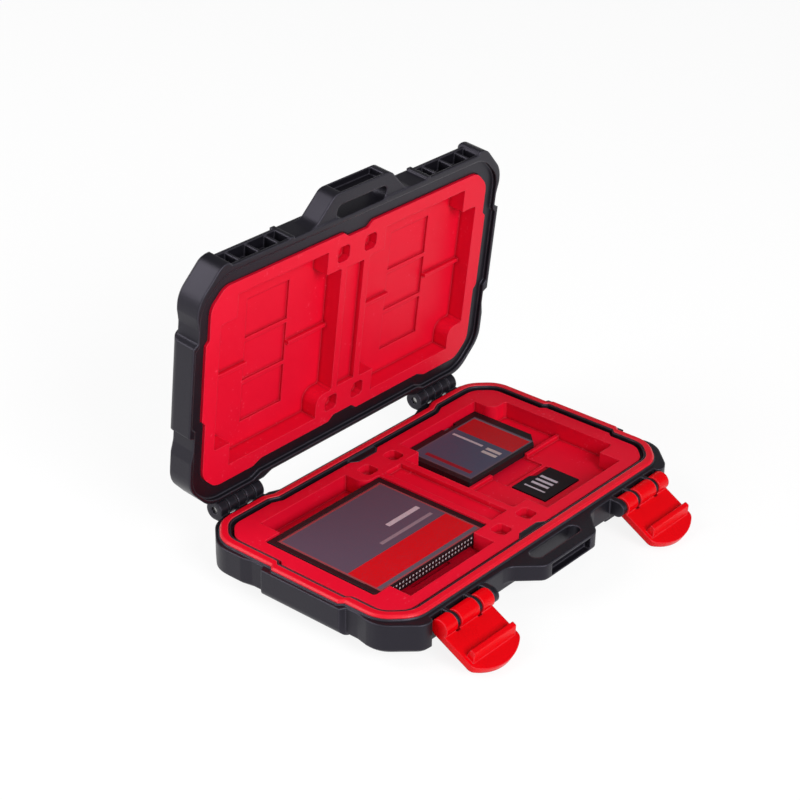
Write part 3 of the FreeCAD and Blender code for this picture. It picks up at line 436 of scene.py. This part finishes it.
def contact_grid():
    """Tree that sets a grid of small blocks into the holes of the socket's face."""
    tree = bpy.data.node_groups.new("socket_contacts", "GeometryNodeTree")
    tree.is_modifier = True
    sockets = {
        "Span": "Float", "Rise": "Float", "Count": "Int", "Rows": "Int",
        "Size": "Vector", "Middle": "Vector", "Finish": "Material"}
    for name, kind in sockets.items():
        tree.interface.new_socket(name, in_out="INPUT", socket_type=f"NodeSocket{kind}")
    tree.interface.new_socket("Geometry", in_out="OUTPUT", socket_type="NodeSocketGeometry")
    given = add(tree, "NodeGroupInput").outputs
    grid = add(tree, "GeometryNodeMeshGrid", {
        "Size X": given["Span"], "Size Y": given["Rise"],
        "Vertices X": given["Count"], "Vertices Y": given["Rows"]})
    upright = add(tree, "GeometryNodeTransform", {
        "Geometry": grid.outputs["Mesh"], "Translation": given["Middle"],
        "Rotation": (math.pi / 2, 0, 0)})
    block = add(tree, "GeometryNodeMeshCube", {"Size": given["Size"]})
    blocks = add(tree, "GeometryNodeInstanceOnPoints", {
        "Points": upright.outputs["Geometry"], "Instance": block.outputs["Mesh"]})
    real = add(tree, "GeometryNodeRealizeInstances", {"Geometry": blocks.outputs["Instances"]})
    finished = add(tree, "GeometryNodeSetMaterial", {
        "Geometry": real.outputs["Geometry"], "Material": given["Finish"]})
    add(tree, "NodeGroupOutput", {"Geometry": finished.outputs["Geometry"]})
    return tree


def grown(name, tree, body, **inputs):
    """Plain mesh piece made by a node tree, riding on a body."""
    piece = bpy.data.objects.new(name, bpy.data.meshes.new(name))
    bpy.context.scene.collection.objects.link(piece)
    modifier = piece.modifiers.new("grow", "NODES")
    modifier.node_group = tree
    for item in tree.interface.items_tree:
        if item.in_out == "INPUT":
            modifier[item.identifier] = inputs[item.name]
    graph = bpy.context.evaluated_depsgraph_get()
    mesh = bpy.data.meshes.new_from_object(piece.evaluated_get(graph))
    piece.modifiers.remove(modifier)
    piece.data = mesh
    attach(piece, body)
    return piece


socket_low, socket_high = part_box("cf_card_socket")
socket_middle = (socket_low + socket_high) / 2
contact_y = socket_low.y + (CONTACT_SINK + CONTACT_DEPTH / 2) * MM
contacts = grown(
    "card_socket_contacts", contact_grid(), "base",
    Count=CONTACT_COUNT, Rows=CONTACT_ROWS, Finish=socket_plastic,
    Span=(CONTACT_COUNT - 1) * CONTACT_PITCH * MM, Rise=(CONTACT_ROWS - 1) * CONTACT_PITCH * MM,
    Size=Vector((CONTACT_WIDTH, CONTACT_DEPTH, CONTACT_WIDTH)) * MM,
    Middle=Vector((socket_middle.x, contact_y, socket_middle.z)))


def white_sheet():
    """Backdrop paper: white to the camera and in reflections, with a soft shadow of the case."""
    material = bpy.data.materials.new("paper_backdrop_white")
    tree = bare_tree(material)
    paper = add(tree, "ShaderNodeBsdfDiffuse", {"Color": linear(FLOOR_PAPER)})
    glow = add(tree, "ShaderNodeEmission", {"Color": linear(WHITE), "Strength": FLOOR_GLOW})
    path = add(tree, "ShaderNodeLightPath").outputs
    seen = path["Is Camera Ray"]
    for ray in ("Is Glossy Ray", "Is Transmission Ray"):
        seen = add(tree, "ShaderNodeMath", {0: seen, 1: path[ray]}, operation="ADD").outputs[0]
    share = add(tree, "ShaderNodeMath", {0: seen, 1: FLOOR_GLOW_SHARE}, operation="MULTIPLY")
    mixed = add(tree, "ShaderNodeMixShader", {
        "Fac": share.outputs[0], 1: paper.outputs[0], 2: glow.outputs[0]})
    add(tree, "ShaderNodeOutputMaterial", {"Surface": mixed.outputs[0]})
    return material


def studio_floor():
    """Large round floor under the case, flat and curving up into a low rim far away."""
    turns = [2 * math.pi * step / FLOOR_STEPS for step in range(FLOOR_STEPS)]
    corners = [(radius * math.cos(turn), radius * math.sin(turn), height)
               for radius, height in FLOOR_PROFILE for turn in turns]
    faces = [tuple(range(FLOOR_STEPS))]
    for ring in range(len(FLOOR_PROFILE) - 1):
        inner = ring * FLOOR_STEPS
        outer = inner + FLOOR_STEPS
        for step in range(FLOOR_STEPS):
            after = (step + 1) % FLOOR_STEPS
            faces.append((inner + step, outer + step, outer + after, inner + after))
    mesh = bpy.data.meshes.new("floor")
    mesh.from_pydata(corners, [], faces)
    mesh.materials.append(white_sheet())
    floor = bpy.data.objects.new("floor", mesh)
    bpy.context.scene.collection.objects.link(floor)


def soft_box(name, place, size, watts):
    """Square studio lamp aimed at the case."""
    lamp = bpy.data.lights.new(name, "AREA")
    lamp.size = size
    lamp.energy = watts
    box = bpy.data.objects.new(name, lamp)
    bpy.context.scene.collection.objects.link(box)
    facing = (Vector(LIGHT_AIM) - Vector(place)).to_track_quat("-Z", "Y").to_matrix().to_4x4()
    box.matrix_world = Matrix.Translation(place) @ facing


def studio_light():
    """Even white surroundings with soft boxes from the left, the front and above."""
    world = bpy.data.worlds.new("studio")
    bpy.context.scene.world = world
    tree = bare_tree(world)
    glow = add(tree, "ShaderNodeBackground", {"Color": linear(WHITE), "Strength": SURROUND_LEVEL})
    add(tree, "ShaderNodeOutputWorld", {"Surface": glow.outputs[0]})
    for name, place, size, watts in SOFT_BOXES:
        soft_box(name, place, size, watts)


def photo_camera():
    """Camera at the photograph's place, turned a little about its own axis."""
    azimuth = math.radians(VIEW_AZIMUTH)
    elevation = math.radians(VIEW_ELEVATION)
    back = Vector((math.sin(azimuth) * math.cos(elevation),
                   -math.cos(azimuth) * math.cos(elevation), math.sin(elevation)))
    right = Vector((math.cos(azimuth), math.sin(azimuth), 0))
    facing = Matrix((right, back.cross(right), back)).transposed().to_4x4()
    roll = Matrix.Rotation(math.radians(VIEW_ROLL), 4, "Z")
    lens = bpy.data.cameras.new("camera")
    lens.lens = VIEW_LENS
    lens.sensor_width = VIEW_SENSOR
    lens.clip_start = VIEW_NEAREST * MM
    camera = bpy.data.objects.new("camera", lens)
    bpy.context.scene.collection.objects.link(camera)
    place = (Vector(VIEW_AIM) + back * VIEW_DISTANCE) * MM
    camera.matrix_world = Matrix.Translation(place) @ facing @ roll
    bpy.context.scene.camera = camera


studio_floor()
studio_light()
photo_camera()
bpy.context.scene.view_settings.view_transform = "Standard"
